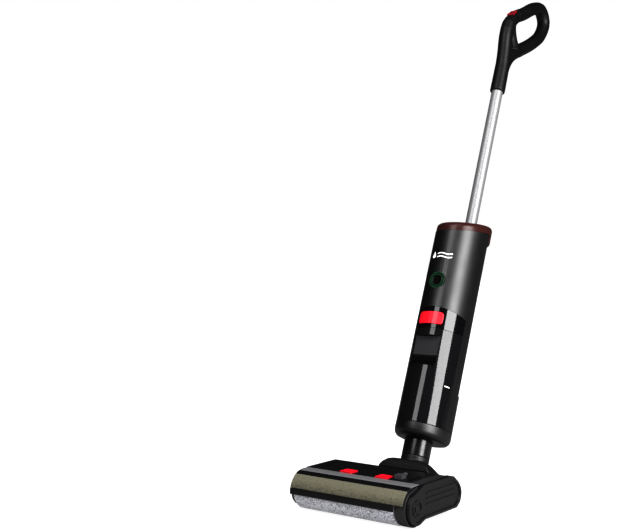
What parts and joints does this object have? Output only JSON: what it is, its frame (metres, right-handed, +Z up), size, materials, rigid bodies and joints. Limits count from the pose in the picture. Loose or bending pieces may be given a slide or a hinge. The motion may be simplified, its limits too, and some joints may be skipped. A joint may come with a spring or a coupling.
{
  "type": "wet dry floor scrubber",
  "caption": "Cordless wet dry floor scrubber: roller head with smoked cover, leaning body with dirty and clean water tanks, slim pole and looped grip.",
  "frame": {"origin": "on the floor, at the middle of the flat underside of the rubber squeegee behind the roller", "axes": "+Z up, +X to the right as seen from the front, the roller and the front of the machine face -Y"},
  "size_m": [0.265, 0.8509, 1.1073],
  "materials": {
    "satin_black": "satin",
    "matte_black": "matte",
    "gloss_black": "gloss",
    "smoked_tank": "gloss",
    "dark_grey": "satin",
    "grey_gloss": "gloss",
    "smoked_window": "gloss",
    "clear_tank": "gloss",
    "red": "gloss",
    "aluminium": "satin",
    "motor_steel": "satin",
    "motor_aluminium": "satin",
    "steel": "satin",
    "rubber": "matte",
    "microfibre": "matte",
    "board": "matte",
    "battery_cells": "satin",
    "led": "matte",
    "white_plastic": "matte"
  },
  "bodies": {
    "head": {"head_base": "matte_black", "head_top_cover": "satin_black", "end_cap_left": "satin_black", "drive_housing": "dark_grey", "drive_cover": "satin_black", "drive_belt": "rubber", "roller_motor": "motor_steel", "suction_duct": "matte_black", "spray_bar": "white_plastic", "roller_scraper": "steel", "floor_squeegee": "rubber", "water_connector": "grey_gloss", "rear_axle": "steel", "base_screw_front_left": "steel", "base_screw_front_right": "steel", "base_screw_rear_left": "steel", "base_screw_rear_right": "steel", "pivot_pin_left": "steel", "pivot_pin_right": "steel"},
    "roller": {"roller_sleeve": "microfibre", "roller_core": "dark_grey", "roller_pulley": "dark_grey"},
    "motor_rotor": {"motor_pulley": "steel"},
    "roller_cover": {"cover_window": "smoked_window", "cover_lip": "matte_black", "cover_frame": "grey_gloss"},
    "left_latch": {"cover_latch_left": "red"},
    "right_latch": {"cover_latch_right": "red"},
    "left_wheel": {"wheel_hub_left": "dark_grey", "wheel_tyre_left": "rubber"},
    "right_wheel": {"wheel_hub_right": "dark_grey", "wheel_tyre_right": "rubber"},
    "yoke": {"yoke": "satin_black"},
    "body": {"neck_tube": "satin_black", "suction_hose": "rubber", "base_shell": "satin_black", "charge_socket": "matte_black", "rear_shell": "matte_black", "battery_pack": "battery_cells", "water_pump": "white_plastic", "upper_shell": "satin_black", "led_ring": "led", "suction_motor": "motor_aluminium", "circuit_board": "board", "top_cap": "gloss_black", "pole": "aluminium", "handle_left": "satin_black", "handle_right": "satin_black"},
    "dirty_tank": {"tank_cup": "smoked_tank", "tank_lid": "gloss_black", "standpipe": "dark_grey", "tank_filter": "white_plastic"},
    "tank_latch": {"tank_latch": "red"},
    "tank_float": {"tank_float": "red"},
    "clean_tank": {"clean_tank": "clear_tank"},
    "clean_tank_cap": {"clean_tank_cap": "satin_black"},
    "power_button": {"power_button": "gloss_black"},
    "thumb_button": {"thumb_button": "red"},
    "impeller": {"impeller": "white_plastic"}
  },
  "joints": [
    {"name": "roller_spin", "type": "hinge", "parent": "head", "child": "roller", "pos_m": [0, -0.05, 0.0345], "axis": [1, 0, 0], "continuous": true},
    {"name": "motor_spin", "type": "hinge", "parent": "head", "child": "motor_rotor", "pos_m": [0, 0.024, 0.044], "axis": [1, 0, 0], "continuous": true},
    {"name": "cover_lift", "type": "slide", "parent": "head", "child": "roller_cover", "axis": [0, 0, 1], "range_m": [0, 0.06]},
    {"name": "left_latch_press", "type": "slide", "parent": "head", "child": "left_latch", "axis": [0, 1, 0], "range_m": [0, 0.003], "stiffness_N_per_m": 800, "springref_m": -0.001},
    {"name": "right_latch_press", "type": "slide", "parent": "head", "child": "right_latch", "axis": [0, 1, 0], "range_m": [0, 0.003], "stiffness_N_per_m": 800, "springref_m": -0.001},
    {"name": "left_wheel_spin", "type": "hinge", "parent": "head", "child": "left_wheel", "pos_m": [-0.046, 0.205, 0.02], "axis": [1, 0, 0], "continuous": true},
    {"name": "right_wheel_spin", "type": "hinge", "parent": "head", "child": "right_wheel", "pos_m": [0.046, 0.205, 0.02], "axis": [1, 0, 0], "continuous": true},
    {"name": "recline", "type": "hinge", "parent": "head", "child": "yoke", "pos_m": [0, 0.13, 0.046], "axis": [-1, 0, 0], "range_deg": [-21.9, 35]},
    {"name": "swivel", "type": "hinge", "parent": "yoke", "child": "body", "pos_m": [0, 0.15286, 0.08096], "axis": [0, 0.373, 0.9278], "range_deg": [-35, 35]},
    {"name": "dirty_tank_pull", "type": "slide", "parent": "body", "child": "dirty_tank", "axis": [0, -0.9278, 0.373], "range_m": [0, 0.12]},
    {"name": "tank_latch_press", "type": "slide", "parent": "dirty_tank", "child": "tank_latch", "axis": [0, 0.9278, -0.373], "range_m": [0, 0.003], "stiffness_N_per_m": 800, "springref_m": -0.001},
    {"name": "float_rise", "type": "slide", "parent": "dirty_tank", "child": "tank_float", "axis": [0, 0.373, 0.9278], "range_m": [0, 0.012]},
    {"name": "clean_tank_pull", "type": "slide", "parent": "body", "child": "clean_tank", "axis": [0, 0.9278, -0.373], "range_m": [0, 0.1]},
    {"name": "clean_cap_open", "type": "hinge", "parent": "clean_tank", "child": "clean_tank_cap", "pos_m": [0, 0.35487, 0.39098], "axis": [-1, 0, 0], "range_deg": [0, 100]},
    {"name": "power_press", "type": "slide", "parent": "body", "child": "power_button", "axis": [0, 0.9278, -0.373], "range_m": [0, 0.0015], "stiffness_N_per_m": 600, "springref_m": -0.001},
    {"name": "thumb_press", "type": "slide", "parent": "body", "child": "thumb_button", "axis": [0, 0.471, -0.8821], "range_m": [0, 0.0015], "stiffness_N_per_m": 600, "springref_m": -0.001},
    {"name": "impeller_spin", "type": "hinge", "parent": "body", "child": "impeller", "pos_m": [0, 0.26741, 0.39273], "axis": [0, 0.373, 0.9278], "continuous": true}
  ],
  "couplings": [
    {"joint": "motor_spin", "follows": "roller_spin", "ratio": 2.4}
  ]
}
